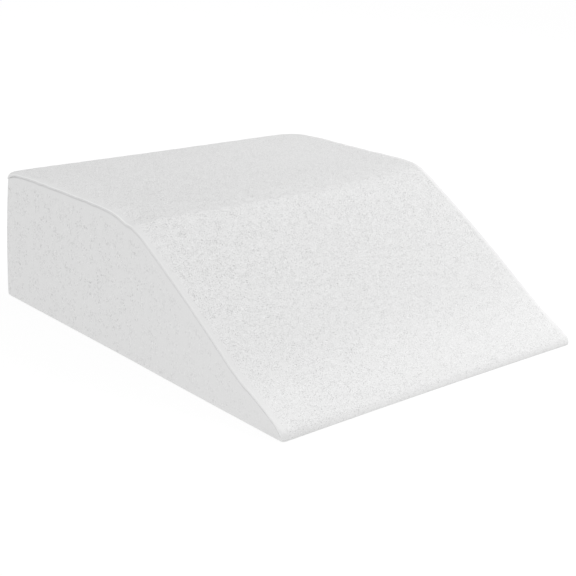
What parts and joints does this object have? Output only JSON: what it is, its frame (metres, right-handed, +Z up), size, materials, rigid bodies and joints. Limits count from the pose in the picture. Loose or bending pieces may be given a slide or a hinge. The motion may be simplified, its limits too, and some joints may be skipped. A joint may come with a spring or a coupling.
{
  "type": "wedge pillow",
  "caption": "Filled wedge pillow for raised legs: flat top, long slope, thin front edge and rounded back corners, in a white knit cover with a sewn side band.",
  "frame": {"origin": "on the surface that the pillow rests on, under the middle of its length and width", "axes": "+Z up; the thin front edge is at -Y and the tall back at +Y; +X across the width"},
  "size_m": [0.53, 0.5824, 0.184],
  "materials": {
    "wrap_knit": "matt white jacquard knit with a fine seed texture",
    "band_knit": "the same matt white knit on the upright sides"
  },
  "bodies": {
    "root": {"pillow_body": "wrap_knit", "side_band": "band_knit"}
  },
  "joints": []
}
